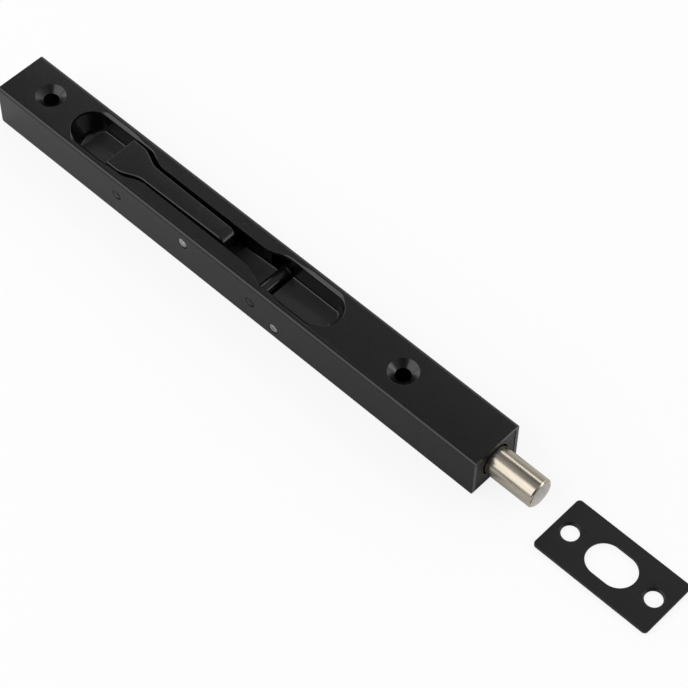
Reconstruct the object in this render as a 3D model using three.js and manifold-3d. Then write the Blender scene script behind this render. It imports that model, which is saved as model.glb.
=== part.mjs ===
// Lever-action flush bolt latch with its strike plate, lying face up. Millimetres, +Z up.
// A folded sheet channel holds a flip-over lever. The lever turns on a pivot pin and its crank pin
// pulls a folded drive bar, which carries the round bolt through a guide block at the channel's end.
// X runs along the latch from the lever end to the bolt, Y across it, Z from the back to the face.

import * as THREE from "three";
import { mergeVertices } from "three/addons/utils/BufferGeometryUtils.js";
import Module from "manifold-3d";

const wasm = await Module();
wasm.setup();

// Fits shared by all pieces
const clearance = 0.3;
const overrun = 1;

// Housing: a channel folded from sheet, open at the back and at the bolt's end
const housingLength = 200;
const housingWidth = 19;
const housingHeight = 15.5;
const sheet = 1.2;
const bendRadius = 0.7;
const innerBendRadius = 0.2;
const flangeCornerRadius = 0.7;

// Screw holes: formed countersinks in the face
const screwHoleRadius = 2.5;
const countersinkRadius = 4.4;
const countersinkDepth = 2.4;
const dimpleWall = 0.9;
const screwFromLeverEnd = 14.2;
const screwFromBoltEnd = 36;

// Face opening and the two drawn finger pockets, alike on both sides of the pivot
const pocketSideGap = 0.7;
const pocketReach = 56;
const pocketPinGap = 0.6;
const pocketDepth = 7.7;
const pocketWall = 1;
const pocketDraft = 0.25;
const pocketFloorFillet = 0.7;
const pocketRim = 1.2;
const neckHalfWidth = 4.1;
const neckRim = 0.4;
const neckLead = 1.7;
const wideLead = 2;

// Lever, its pivot and its crank
const pivotFromLeverEnd = 82.3;
const pivotHeight = 10.5;
const pivotPinRadius = 1.6;
const crankRadius = 9;
const crankPinRadius = 1.25;
const flipAngle = 170;
const leverThickness = 2.4;
const leverSunk = 0.2;
const leverSideGap = 0.4;
const leverReach = 37;
const leverTipLength = 4.5;
const leverTaper = 9;
const leverNeckGap = 0.8;
const leverNoseTaper = 0.4;
const leverNoseCorner = 1.2;
const leverStep = 0.6;
const leverTipCorner = 0.6;
const leverHubWall = 1.5;
const crankBossWall = 0.75;
const noseRadius = 3.5;

// Pins across the channel, placed from the pivot and the back
const crossPinRadius = 1.5;
const leverRestPinFromTip = 8;
const restPinReach = 28.5;
const restPinHeight = 7.8;
const leverRestPinHeight = 8.7;
const guidePinReach = 38.2;
const guidePinHeight = 3.7;
const pinRecess = 0.1;
const spacerWall = 0.8;

// Drive bar: a base strip, two cheeks at the lever and an upright tab at the bolt
const barSideGap = 1.4;
const barCheek = 1.4;
const barSheet = 1.2;
const barBackGap = 0.6;
const barTopGap = 0.9;
const barTail = 2.7;
const barCheekEndMargin = 3.3;
const barStripOverlap = 7;
const barTab = 1.8;
const barTabHeight = 10.9;
const barSlotHalfWidth = 2.8;

// Leaf spring behind the lever's nose, rising to an eye that is rolled round the right-hand rest pin
const leafThickness = 0.9;
const leafGap = 0.6;
const leafStartHeight = 4.9;
const leafEndHeight = 6.3;
const eyeWall = 0.6;
const eyeSideGap = 1.3;

// Round bolt and its guide block
const boltRadius = 4.85;
const boltHeight = 7.9;
const boltOut = 17;
const boltChamfer = 0.7;
const tenonRadius = 2.5;
const peenRadius = 3.7;
const peenThickness = 0.9;
const guideLength = 11.1;
const guideInset = 0.5;
const guideBackGap = 0.1;

// Strike plate, lying in line with the bolt
const strikeLength = 41.1;
const strikeWidth = 20.4;
const strikeThickness = 1.2;
const strikeCorner = 1.3;
const strikeGap = 6.3;
const strikeSlotLength = 16.4;
const strikeSlotWidth = 11.5;
const strikeHoleSpacing = 30.4;
const strikeHoleRadius = 2.75;
const strikeSinkRadius = 3.3;

// Facets
const roundSegments = 32;
const arcSegments = 8;
const taperSteps = 6;

// Places that follow from the sizes above
const face = housingHeight;
const innerHalf = housingWidth / 2 - sheet;
const faceUnder = face - sheet;
const pocketHalfWidth = innerHalf - pocketSideGap - pocketWall;
const barHalfWidth = innerHalf - barSideGap;
const leverWideUntil = leverReach - leverTipLength;
const leverNarrowFrom = leverWideUntil - leverTaper;
const leverRestPinReach = leverReach - leverRestPinFromTip;
const wideFrom = leverWideUntil - wideLead;
const neckReach = leverNarrowFrom - neckLead;
const eyeRadius = crossPinRadius + clearance + eyeWall;
const pocketInner = restPinReach + eyeRadius + pocketPinGap;
const pivotX = pivotFromLeverEnd;
const crankX = pivotX + crankRadius;
const leverHubRadius = pivotPinRadius + clearance + leverHubWall;
const crankBossRadius = crankPinRadius + clearance + crankBossWall;
const leverHalfWidth = pocketHalfWidth - leverSideGap;
const leverNeckHalfWidth = neckHalfWidth - leverNeckGap;
const leverNoseHalfWidth = leverNeckHalfWidth - leverNoseTaper;
const flip = THREE.MathUtils.degToRad(flipAngle);
const throwLength = crankRadius * (1 - Math.cos(flip));
const boltTip = housingLength + boltOut;
const strikeStart = boltTip + strikeGap;
const strikeMiddle = strikeStart + strikeLength / 2;
const overallLength = strikeStart + strikeLength;
const guideEnd = housingLength - guideInset;
const guideStart = guideEnd - guideLength;
const tabEnd = guideStart - clearance;
const tabStart = tabEnd - barTab;
const barInnerHalf = barHalfWidth - barCheek;
const screwPlaces = [screwFromLeverEnd, housingLength - screwFromBoltEnd];

// Looks
const blackCoat = { color: 0x232323, roughness: 0.5, metalness: 0.1 };
const brightPlate = { color: 0xcfc4ae, roughness: 0.25, metalness: 1 };
const zincPlate = { color: 0xa9abad, roughness: 0.4, metalness: 1 };
const castBlock = { color: 0x55575a, roughness: 0.55, metalness: 0.8 };

// Closed three.js geometry to a solid that can be joined and cut.
function solid(geometry) {
  const bare = geometry.clone();
  bare.deleteAttribute("normal");
  bare.deleteAttribute("uv");
  const merged = mergeVertices(bare);
  const mesh = new wasm.Mesh({
    numProp: 3,
    vertProperties: new Float32Array(merged.attributes.position.array),
    triVerts: new Uint32Array(merged.index.array),
  });
  return new wasm.Manifold(mesh);
}

// Joins a list of solids into one.
function join(parts) {
  return parts.reduce((whole, part) => whole.add(part));
}

// Cuts every solid of a list out of another.
function cut(body, tools) {
  return tools.reduce((rest, tool) => rest.subtract(tool), body);
}

// Named mesh of a solid.
function piece(name, body, look) {
  const mesh = body.getMesh();
  const geometry = new THREE.BufferGeometry();
  geometry.setAttribute("position", new THREE.Float32BufferAttribute(mesh.vertProperties, 3));
  geometry.setIndex(new THREE.Uint32BufferAttribute(mesh.triVerts, 1));
  geometry.computeVertexNormals();
  const result = new THREE.Mesh(geometry, new THREE.MeshStandardMaterial(look));
  result.name = name;
  return result;
}

// Prism of a shape, which is drawn in X and Y, between two heights.
function prismUp(shape, low, high) {
  const options = { depth: high - low, bevelEnabled: false, curveSegments: arcSegments };
  return solid(new THREE.ExtrudeGeometry(shape, options).translate(0, 0, low));
}

// Prism of a shape, which is drawn in X and Z, between two places across.
function prismAcross(shape, low, high) {
  const options = { depth: high - low, bevelEnabled: false, curveSegments: arcSegments };
  const turned = new THREE.ExtrudeGeometry(shape, options).rotateX(Math.PI / 2);
  return solid(turned.translate(0, high, 0));
}

// Prism of a shape, which is drawn in Y and Z, between two places along.
function prismAlong(shape, low, high) {
  const options = { depth: high - low, bevelEnabled: false, curveSegments: arcSegments };
  const turn = new THREE.Matrix4().makeBasis(
    new THREE.Vector3(0, 1, 0),
    new THREE.Vector3(0, 0, 1),
    new THREE.Vector3(1, 0, 0),
  );
  const turned = new THREE.ExtrudeGeometry(shape, options).applyMatrix4(turn);
  return solid(turned.translate(low, 0, 0));
}

// Box between two corners.
function box(x0, x1, y0, y1, z0, z1) {
  const geometry = new THREE.BoxGeometry(x1 - x0, y1 - y0, z1 - z0);
  return solid(geometry.translate((x0 + x1) / 2, (y0 + y1) / 2, (z0 + z1) / 2));
}

// Round bar across the latch.
function barAcross(x, z, radius, y0, y1) {
  const geometry = new THREE.CylinderGeometry(radius, radius, y1 - y0, roundSegments);
  return solid(geometry.translate(x, (y0 + y1) / 2, z));
}

// Turned solid about an upright axis, from points of radius and height.
function turnedUp(points, x) {
  const profile = points.map(([radius, z]) => new THREE.Vector2(radius, z));
  const geometry = new THREE.LatheGeometry(profile, roundSegments).rotateX(Math.PI / 2);
  return solid(geometry.translate(x, 0, 0));
}

// Turned solid about a lengthwise axis at a height, from points of radius and place along.
function turnedAlong(points, z) {
  const profile = points.map(([radius, x]) => new THREE.Vector2(radius, x));
  const geometry = new THREE.LatheGeometry(profile, roundSegments).rotateZ(-Math.PI / 2);
  return solid(geometry.translate(0, 0, z));
}

// Closed skin over a stack of alike outlines, lowest first, each with its height.
function stack(layers) {
  const count = layers[0].outline.length;
  const positions = [];
  for (const { outline, z } of layers) {
    for (const point of outline) {
      positions.push(point.x, point.y, z);
    }
  }
  const index = [];
  for (let layer = 0; layer + 1 < layers.length; layer += 1) {
    for (let i = 0; i < count; i += 1) {
      const a = layer * count + i;
      const b = layer * count + ((i + 1) % count);
      index.push(a, b, b + count, a, b + count, a + count);
    }
  }
  const top = (layers.length - 1) * count;
  const topFaces = THREE.ShapeUtils.triangulateShape(layers[layers.length - 1].outline, []);
  const bottomFaces = THREE.ShapeUtils.triangulateShape(layers[0].outline, []);
  for (const [a, b, c] of topFaces) {
    index.push(top + a, top + b, top + c);
  }
  for (const [a, b, c] of bottomFaces) {
    index.push(c, b, a);
  }
  const geometry = new THREE.BufferGeometry();
  geometry.setAttribute("position", new THREE.Float32BufferAttribute(positions, 3));
  geometry.setIndex(index);
  return solid(geometry);
}

// Shape through a list of points.
function polygon(points) {
  return new THREE.Shape(points.map(([x, y]) => new THREE.Vector2(x, y)));
}

// Rectangle between two corners with rounded corners.
function roundedRectangle(x0, x1, y0, y1, radius) {
  const shape = new THREE.Shape();
  shape.absarc(x1 - radius, y0 + radius, radius, -Math.PI / 2, 0, false);
  shape.absarc(x1 - radius, y1 - radius, radius, 0, Math.PI / 2, false);
  shape.absarc(x0 + radius, y1 - radius, radius, Math.PI / 2, Math.PI, false);
  shape.absarc(x0 + radius, y0 + radius, radius, Math.PI, Math.PI * 1.5, false);
  return shape;
}

// Half width of the face opening at a distance from the pivot.
function openingHalfWidth(distance, growWide, growNeck) {
  const blend = THREE.MathUtils.smoothstep(distance, neckReach, wideFrom);
  const wide = pocketHalfWidth + growWide;
  const neck = neckHalfWidth + growNeck;
  return neck + (wide - neck) * blend;
}

// Outline of the whole face opening: round ends, straight pockets and a tapered neck.
function openingOutline(growWide, growNeck) {
  const radius = pocketHalfWidth + growWide;
  const centre = pocketReach - pocketHalfWidth;
  const quarter = [];
  for (let i = 0; i < arcSegments; i += 1) {
    const angle = (i / arcSegments) * (Math.PI / 2);
    quarter.push([centre + radius * Math.cos(angle), radius * Math.sin(angle)]);
  }
  quarter.push([centre, radius]);
  for (let i = 0; i <= taperSteps; i += 1) {
    const distance = wideFrom + (neckReach - wideFrom) * (i / taperSteps);
    quarter.push([distance, openingHalfWidth(distance, growWide, growNeck)]);
  }
  const mirrored = quarter.slice().reverse().map(([x, y]) => [-x, y]);
  const upper = quarter.concat(mirrored);
  const lower = upper.slice(1, -1).reverse().map(([x, y]) => [x, -y]);
  return upper.concat(lower).map(([x, y]) => new THREE.Vector2(pivotX + x, y));
}

// Cutter for the face opening with its rolled rim.
function openingCutter() {
  const cosine = Math.cos(Math.PI / 4);
  const layer = (share, z) => ({ outline: openingOutline(pocketRim * share, neckRim * share), z });
  return stack([
    layer(0, faceUnder - overrun),
    layer(0, face - pocketRim),
    layer(1 - cosine, face - pocketRim * (1 - cosine)),
    layer(1, face),
    layer(1, face + overrun),
  ]);
}

// Outline of one pocket at a half width; side is -1 at the lever's tip and 1 at the bolt.
function pocketOutline(side, halfWidth, inner) {
  const centre = pocketReach - pocketHalfWidth;
  const points = [[inner, -halfWidth]];
  for (let i = 0; i <= arcSegments * 2; i += 1) {
    const angle = (i / (arcSegments * 2) - 1 / 2) * Math.PI;
    points.push([centre + halfWidth * Math.cos(angle), halfWidth * Math.sin(angle)]);
  }
  points.push([inner, halfWidth]);
  const placed = points.map(([x, y]) => new THREE.Vector2(pivotX + side * x, y));
  return side > 0 ? placed : placed.reverse();
}

// Pocket-shaped solid down to a height, grown sideways, drawn in towards a rounded edge at its floor.
function pocketBody(side, grow, floor, fillet, top, inner) {
  const halfWidth = pocketHalfWidth + grow;
  const layers = [];
  const steps = arcSegments / 2;
  for (let i = 0; i <= steps; i += 1) {
    const angle = (i / steps) * (Math.PI / 2);
    const inset = pocketDraft + fillet * (1 - Math.sin(angle));
    layers.push({
      outline: pocketOutline(side, halfWidth - inset, inner),
      z: floor + fillet * (1 - Math.cos(angle)),
    });
  }
  layers.push({ outline: pocketOutline(side, halfWidth, inner), z: top });
  return stack(layers);
}

// Drawn shell of a pocket, before it is hollowed.
function pocketShell(side) {
  const floor = face - pocketDepth - pocketWall;
  return pocketBody(side, pocketWall, floor, pocketFloorFillet + pocketWall, face - sheet / 2, pocketInner);
}

// Hollow of a pocket.
function pocketHollow(side) {
  const inner = pocketInner - overrun;
  return pocketBody(side, 0, face - pocketDepth, pocketFloorFillet, face - pocketRim / 2, inner);
}

// Outer side of a formed countersink.
function dimpleShell(x) {
  const bottom = face - countersinkDepth - dimpleWall;
  return turnedUp([
    [0, bottom],
    [screwHoleRadius + dimpleWall, bottom],
    [countersinkRadius + dimpleWall, faceUnder],
    [countersinkRadius + dimpleWall, face - sheet / 2],
    [0, face - sheet / 2],
  ], x);
}

// Hollow of a formed countersink, with the screw hole through it.
function dimpleHollow(x) {
  return turnedUp([
    [0, face - countersinkDepth - dimpleWall - overrun],
    [screwHoleRadius, face - countersinkDepth - dimpleWall - overrun],
    [screwHoleRadius, face - countersinkDepth],
    [countersinkRadius, face],
    [countersinkRadius, face + overrun],
    [0, face + overrun],
  ], x);
}

// Section of the folded channel.
function channelSection() {
  const outer = housingWidth / 2;
  const innerSide = innerHalf - innerBendRadius;
  const innerTop = faceUnder - innerBendRadius;
  const shape = new THREE.Shape();
  shape.moveTo(outer, 0);
  shape.absarc(outer - bendRadius, face - bendRadius, bendRadius, 0, Math.PI / 2, false);
  shape.absarc(bendRadius - outer, face - bendRadius, bendRadius, Math.PI / 2, Math.PI, false);
  shape.lineTo(-outer, 0);
  shape.lineTo(-innerHalf, 0);
  shape.absarc(-innerSide, innerTop, innerBendRadius, Math.PI, Math.PI / 2, true);
  shape.absarc(innerSide, innerTop, innerBendRadius, Math.PI / 2, 0, true);
  shape.lineTo(innerHalf, 0);
  return shape;
}

// Side view of the channel: both back corners are rounded.
function channelSide() {
  const radius = flangeCornerRadius;
  const shape = new THREE.Shape();
  shape.absarc(housingLength - radius, radius, radius, -Math.PI / 2, 0, false);
  shape.lineTo(housingLength, face + overrun);
  shape.lineTo(0, face + overrun);
  shape.absarc(radius, radius, radius, Math.PI, Math.PI * 1.5, false);
  return shape;
}

// Holes for the pins, through both sides of the channel.
function pinHoles() {
  const half = housingWidth / 2 + overrun;
  const pins = [
    [pivotX, pivotHeight, pivotPinRadius],
    [pivotX - leverRestPinReach, leverRestPinHeight, crossPinRadius],
    [pivotX + restPinReach, restPinHeight, crossPinRadius],
    [pivotX + guidePinReach, guidePinHeight, crossPinRadius],
  ];
  return pins.map(([x, z, radius]) => barAcross(x, z, radius + clearance, -half, half));
}

// Wall folded down at the lever end, let into the sides and the face by half a sheet.
function endWall() {
  const half = innerHalf + sheet / 2;
  return box(0, sheet, -half, half, flangeCornerRadius, faceUnder + sheet / 2);
}

function housing() {
  const channel = join([prismAlong(channelSection(), 0, housingLength), endWall()]);
  const trimmed = channel.intersect(prismAcross(channelSide(), -housingWidth, housingWidth));
  const whole = join([trimmed, pocketShell(-1), pocketShell(1), ...screwPlaces.map(dimpleShell)]);
  const hollows = [openingCutter(), pocketHollow(-1), pocketHollow(1), ...screwPlaces.map(dimpleHollow)];
  return piece("housing", cut(whole, [...hollows, ...pinHoles()]), blackCoat);
}

// Plan of the lever: wide finger tip, taper, long neck and a nose with cut corners.
function leverPlan() {
  const tip = pivotX - leverReach;
  const nose = crankX + crankBossRadius;
  const upper = [
    [nose + overrun, leverNoseHalfWidth - leverNoseCorner - overrun],
    [nose - leverNoseCorner, leverNoseHalfWidth],
    [crankX, leverNoseHalfWidth],
    [pivotX - leverNarrowFrom, leverNeckHalfWidth],
    [pivotX - leverWideUntil, leverHalfWidth],
    [tip + leverTipCorner, leverHalfWidth],
    [tip, leverHalfWidth - leverTipCorner],
  ];
  const lower = upper.slice().reverse().map(([x, y]) => [x, -y]);
  return polygon(upper.concat(lower));
}

// Side view of the lever: thin finger tip, deep neck that rests on the left-hand rest pin, round
// hub, crank boss and a nose that turns down.
function leverSide() {
  const top = face - leverSunk;
  const under = top - leverThickness;
  const neckUnder = leverRestPinHeight + crossPinRadius + clearance;
  const step = pivotX - leverRestPinReach - crossPinRadius - leverStep;
  const noseEnd = crankX + crankBossRadius;
  const shape = new THREE.Shape();
  shape.moveTo(pivotX - leverReach, under);
  shape.lineTo(step - leverStep, under);
  shape.lineTo(step, neckUnder);
  shape.lineTo(pivotX - leverHubRadius, neckUnder);
  shape.absarc(pivotX, pivotHeight, leverHubRadius, Math.PI, Math.PI * 1.5, false);
  shape.absarc(crankX, pivotHeight, crankBossRadius, Math.PI * 1.5, Math.PI * 2, false);
  shape.absarc(noseEnd - noseRadius, top - noseRadius, noseRadius, 0, Math.PI / 2, false);
  shape.lineTo(pivotX - leverReach, top);
  return shape;
}

function lever() {
  const half = leverHalfWidth + overrun;
  const plan = prismUp(leverPlan(), 0, face + overrun);
  const body = plan.intersect(prismAcross(leverSide(), -half, half));
  const holes = [
    barAcross(pivotX, pivotHeight, pivotPinRadius + clearance, -half, half),
    barAcross(crankX, pivotHeight, crankPinRadius + clearance, -half, half),
  ];
  return piece("lever", cut(body, holes), blackCoat);
}

function crankPin() {
  const body = barAcross(crankX, pivotHeight, crankPinRadius, -barHalfWidth, barHalfWidth);
  return piece("crank_pin", body, brightPlate);
}

// Pin from side to side of the channel, a little below both outer faces.
function crossPin(name, x, z, radius, look) {
  const half = housingWidth / 2 - pinRecess;
  return piece(name, barAcross(x, z, radius, -half, half), look);
}

// Sleeve on the pivot pin between the lever's hub and one cheek of the drive bar.
function pivotSpacer(name, side) {
  const hubShare = leverNarrowFrom / (leverNarrowFrom + crankRadius);
  const hubHalf = leverNeckHalfWidth + (leverNoseHalfWidth - leverNeckHalfWidth) * hubShare;
  const near = side * (hubHalf + clearance);
  const far = side * (barInnerHalf - clearance);
  const low = Math.min(near, far);
  const high = Math.max(near, far);
  const bore = pivotPinRadius + clearance;
  const sleeve = barAcross(pivotX, pivotHeight, bore + spacerWall, low, high);
  const hole = barAcross(pivotX, pivotHeight, bore, low - overrun, high + overrun);
  return piece(name, cut(sleeve, [hole]), zincPlate);
}

// Side view of a drive bar cheek: a long slot for the pivot pin that opens downwards at the crank
// pin, wide enough there for the crank's swing to lead and lag the bar's even travel.
function cheekSide() {
  const pivotFit = pivotPinRadius + clearance;
  const crankFit = crankPinRadius + clearance;
  const lead = crankLead();
  const left = pivotX - pivotFit - barTail;
  const right = pivotX + throwLength + pivotFit + barCheekEndMargin;
  const notchLeft = crankX - crankFit + lead.least;
  const notchRight = crankX + crankFit + lead.most;
  return polygon([
    [left, barBackGap],
    [notchLeft, barBackGap],
    [notchLeft, pivotHeight - pivotFit],
    [pivotX - pivotFit, pivotHeight - pivotFit],
    [pivotX - pivotFit, pivotHeight + pivotFit],
    [pivotX + throwLength + pivotFit, pivotHeight + pivotFit],
    [pivotX + throwLength + pivotFit, pivotHeight - pivotFit],
    [notchRight, pivotHeight - pivotFit],
    [notchRight, barBackGap],
    [right, barBackGap],
    [right, faceUnder - barTopGap],
    [left, faceUnder - barTopGap],
  ]);
}

// How far the crank pin runs behind and ahead of a bar that moves evenly with the lever's angle.
function crankLead() {
  let least = 0;
  let most = 0;
  for (let degree = 0; degree <= flipAngle; degree += 1) {
    const angle = THREE.MathUtils.degToRad(degree);
    const pin = crankRadius * (Math.cos(angle) - 1);
    const even = -throwLength * (degree / flipAngle);
    least = Math.min(least, pin - even);
    most = Math.max(most, pin - even);
  }
  return { least, most };
}

function driveBar() {
  const cheekEnd = pivotX + throwLength + pivotPinRadius + clearance + barCheekEndMargin;
  const stripTop = barBackGap + barSheet;
  const strip = box(cheekEnd - barStripOverlap, tabEnd, -barHalfWidth, barHalfWidth, barBackGap, stripTop);
  const tab = box(tabStart, tabEnd, -barHalfWidth, barHalfWidth, barBackGap, barBackGap + barTabHeight);
  const cheeks = [
    prismAcross(cheekSide(), barInnerHalf, barHalfWidth),
    prismAcross(cheekSide(), -barHalfWidth, -barInnerHalf),
  ];
  const screw = housingLength - screwFromBoltEnd;
  const slot = roundedRectangle(
    screw - barSlotHalfWidth,
    screw + throwLength + barSlotHalfWidth,
    -barSlotHalfWidth,
    barSlotHalfWidth,
    barSlotHalfWidth - clearance,
  );
  const slotCutter = prismUp(slot, barBackGap - overrun, stripTop + overrun);
  const tenonHole = turnedAlong([
    [0, tabStart - overrun],
    [tenonRadius + clearance, tabStart - overrun],
    [tenonRadius + clearance, tabEnd + overrun],
    [0, tabEnd + overrun],
  ], boltHeight);
  const body = cut(join([strip, tab, ...cheeks]), [slotCutter, tenonHole]);
  return piece("drive_bar", body, blackCoat);
}

// Round bolt: chamfered tip, shoulder at the drive bar's tab, tenon through it and a peened head.
function bolt() {
  const shoulder = tabEnd + clearance;
  const head = tabStart - clearance;
  const body = turnedAlong([
    [0, head - peenThickness],
    [tenonRadius, head - peenThickness],
    [peenRadius, head - peenThickness / 2],
    [peenRadius, head],
    [tenonRadius, head],
    [tenonRadius, shoulder],
    [boltRadius, shoulder],
    [boltRadius, boltTip - boltChamfer],
    [boltRadius - boltChamfer, boltTip],
    [0, boltTip],
  ], boltHeight);
  return piece("bolt", body, brightPlate);
}

// Block across the channel's end that the bolt slides in.
function boltGuide() {
  const half = innerHalf - clearance;
  const block = box(guideStart, guideEnd, -half, half, guideBackGap, faceUnder - clearance);
  const bore = turnedAlong([
    [0, guideStart - overrun],
    [boltRadius + clearance, guideStart - overrun],
    [boltRadius + clearance, guideEnd + overrun],
    [0, guideEnd + overrun],
  ], boltHeight);
  return piece("bolt_guide", cut(block, [bore]), castBlock);
}

// Leaf spring that rises from under the lever's nose to an eye round the rest pin.
function detentSpring() {
  const pinX = pivotX + restPinReach;
  const leafHalf = barInnerHalf - clearance;
  const eyeHalf = innerHalf - eyeSideGap;
  const bore = crossPinRadius + clearance;
  const start = crankX + crankBossRadius + leafGap;
  const leaf = prismAcross(polygon([
    [start, leafStartHeight],
    [pinX, leafEndHeight],
    [pinX, leafEndHeight + leafThickness],
    [start, leafStartHeight + leafThickness],
  ]), -leafHalf, leafHalf);
  const eye = barAcross(pinX, restPinHeight, eyeRadius, -eyeHalf, eyeHalf);
  const hole = barAcross(pinX, restPinHeight, bore, -eyeHalf - overrun, eyeHalf + overrun);
  return piece("detent_spring", cut(join([leaf, eye]), [hole]), blackCoat);
}

// Strike plate: flat plate with a long slot for the bolt between two countersunk screw holes.
function strikePlate() {
  const halfWidth = strikeWidth / 2;
  const plan = roundedRectangle(strikeStart, overallLength, -halfWidth, halfWidth, strikeCorner);
  const slotEnd = strikeSlotLength / 2 - strikeSlotWidth / 2;
  const slot = new THREE.Path();
  const slotRadius = strikeSlotWidth / 2;
  slot.absarc(strikeMiddle + slotEnd, 0, slotRadius, -Math.PI / 2, Math.PI / 2, false);
  slot.absarc(strikeMiddle - slotEnd, 0, slotRadius, Math.PI / 2, Math.PI * 1.5, false);
  plan.holes.push(slot);
  const screws = [-1, 1].map((side) => turnedUp([
    [0, -overrun],
    [strikeHoleRadius, -overrun],
    [strikeHoleRadius, strikeThickness - (strikeSinkRadius - strikeHoleRadius)],
    [strikeSinkRadius, strikeThickness],
    [strikeSinkRadius, strikeThickness + overrun],
    [0, strikeThickness + overrun],
  ], strikeMiddle + side * strikeHoleSpacing / 2));
  return piece("strike_plate", cut(prismUp(plan, 0, strikeThickness), screws), blackCoat);
}

const group = new THREE.Group();
group.add(
  housing(),
  lever(),
  crankPin(),
  crossPin("pivot_pin", pivotX, pivotHeight, pivotPinRadius, brightPlate),
  pivotSpacer("pivot_spacer_near", -1),
  pivotSpacer("pivot_spacer_far", 1),
  crossPin("rest_pin_left", pivotX - leverRestPinReach, leverRestPinHeight, crossPinRadius, blackCoat),
  crossPin("rest_pin_right", pivotX + restPinReach, restPinHeight, crossPinRadius, blackCoat),
  crossPin("guide_pin", pivotX + guidePinReach, guidePinHeight, crossPinRadius, brightPlate),
  detentSpring(),
  driveBar(),
  bolt(),
  boltGuide(),
  strikePlate(),
);

// The origin is under the middle of the whole set, at the height of the channel's back.
group.position.x = -overallLength / 2;
group.updateMatrixWorld(true);

export default group;
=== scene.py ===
# Looks of the lever-action flush bolt latch and its strike plate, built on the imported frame.
# Sizes are millimetres from the lever end of the housing, as in the part's source, and every
# mesh is placed in metres in the frame's own axes.

import math

import bpy
import bmesh
from mathutils import Matrix, Vector
from mathutils.geometry import tessellate_polygon


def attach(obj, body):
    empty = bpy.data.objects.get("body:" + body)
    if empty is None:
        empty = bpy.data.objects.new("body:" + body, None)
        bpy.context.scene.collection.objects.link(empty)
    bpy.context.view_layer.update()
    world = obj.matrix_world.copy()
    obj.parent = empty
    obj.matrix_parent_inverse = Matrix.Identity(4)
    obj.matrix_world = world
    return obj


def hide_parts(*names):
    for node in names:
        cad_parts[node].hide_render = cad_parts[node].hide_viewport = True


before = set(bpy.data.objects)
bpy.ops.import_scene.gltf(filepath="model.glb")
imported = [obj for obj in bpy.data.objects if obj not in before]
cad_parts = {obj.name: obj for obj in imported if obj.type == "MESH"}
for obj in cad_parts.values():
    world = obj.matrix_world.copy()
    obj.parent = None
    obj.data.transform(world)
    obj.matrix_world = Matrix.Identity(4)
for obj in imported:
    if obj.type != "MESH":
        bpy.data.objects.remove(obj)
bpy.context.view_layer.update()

MM = 0.001

# Housing sheet
HOUSING_LENGTH = 200.0
HOUSING_WIDTH = 19.0
FACE = 15.5
SHEET = 1.2
BEND = 1.1
INNER_BEND = 0.2
FLANGE_CORNER = 0.7
HALF = HOUSING_WIDTH / 2
INNER_HALF = HALF - SHEET
FACE_UNDER = FACE - SHEET
END_WALL_SET_BACK = 0.05

# Screw countersinks
SCREW_PLACES = (14.2, 164.0)
SCREW_RADIUS = 2.5
SINK_RADIUS = 4.8
SINK_DEPTH = 1.85
SINK_LIP = 0.2
DIMPLE_WALL = 0.9

# Pins across the channel: place along and height
PIVOT = 82.3
PIVOT_HEIGHT = 10.5
PIVOT_RADIUS = 1.6
PIN_RADIUS = 1.5
REST_LEFT = (PIVOT - 29.0, 8.7)
REST_RIGHT = (PIVOT + 28.5, 7.8)
GUIDE_PIN = (PIVOT + 38.2, 3.7)
PIN_PROUD = 0.1
PIN_DOME = 0.3
PIN_RING = 0.24
PIN_RING_SHIFT = 0.2
PIN_RING_DEPTH = 0.35
PIN_FIT = 0.03
# Domed pin end: shares of the dome's depth and of the radius
PIN_SHARES = ((0, 0), (0.09, 0.35), (0.26, 0.7), (0.5, 0.88), (1, 1))
PINS = (
    ((PIVOT, PIVOT_HEIGHT), PIVOT_RADIUS),
    (REST_LEFT, PIN_RADIUS),
    (REST_RIGHT, PIN_RADIUS),
    (GUIDE_PIN, PIN_RADIUS),
)

# Leaf spring with the eye that is rolled round the right-hand rest pin
LEAF_START = 94.2
LEAF_START_LOW = 4.9
LEAF_END_LOW = 6.3
LEAF_THICKNESS = 0.9
LEAF_HALF = 5.2
LEAF_EDGE = 0.3
LEAF_LIP = 0.3
LEAF_LIP_WIDTH = 0.55
# Painted light: the leaf is coloured paler up to here
LEAF_LIT_UNTIL = 108.2
EYE_RADIUS = 2.4
EYE_WAIST = 2.2
EYE_HALF = 7.0
EYE_WAIST_HALF = 5.5
EYE_BORE = 1.65

# Face opening and finger pockets, from the pivot
POCKET_SIDE_GAP = 0.7
POCKET_WALL = 1.0
POCKET_HALF = INNER_HALF - POCKET_SIDE_GAP - POCKET_WALL
POCKET_REACH = 56.0
POCKET_PIN_GAP = 0.6
POCKET_INNER = REST_RIGHT[0] - PIVOT + EYE_RADIUS + POCKET_PIN_GAP
POCKET_DEPTH = 7.7
POCKET_DRAFT = 0.25
POCKET_FILLET = 0.7
POCKET_END_FILLET = 2.2
POCKET_END_DRAFT = 3.0
POCKET_RIM = 1.2
RIM_FROM = 32.5
RIM_UNTIL = 39.0
RIM_END_LOSS = 0.88
RIM_LOST_AT = 0.6
NECK_HALF = 4.1
NECK_RIM = 0.05
SLOPE_RIM = 0.4
SLOPE_FROM = 25.0
SLOPE_UNTIL = 29.0
# Sloped rim of the opening: shares of its width and of its depth
RIM_SHARES = ((1, 0), (0.94, 0.015), (0.86, 0.06), (0.25, 0.5), (0.1, 0.64), (0.02, 0.84), (0, 1))
NECK_REACH = 21.8
WIDE_FROM = 30.5

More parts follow.
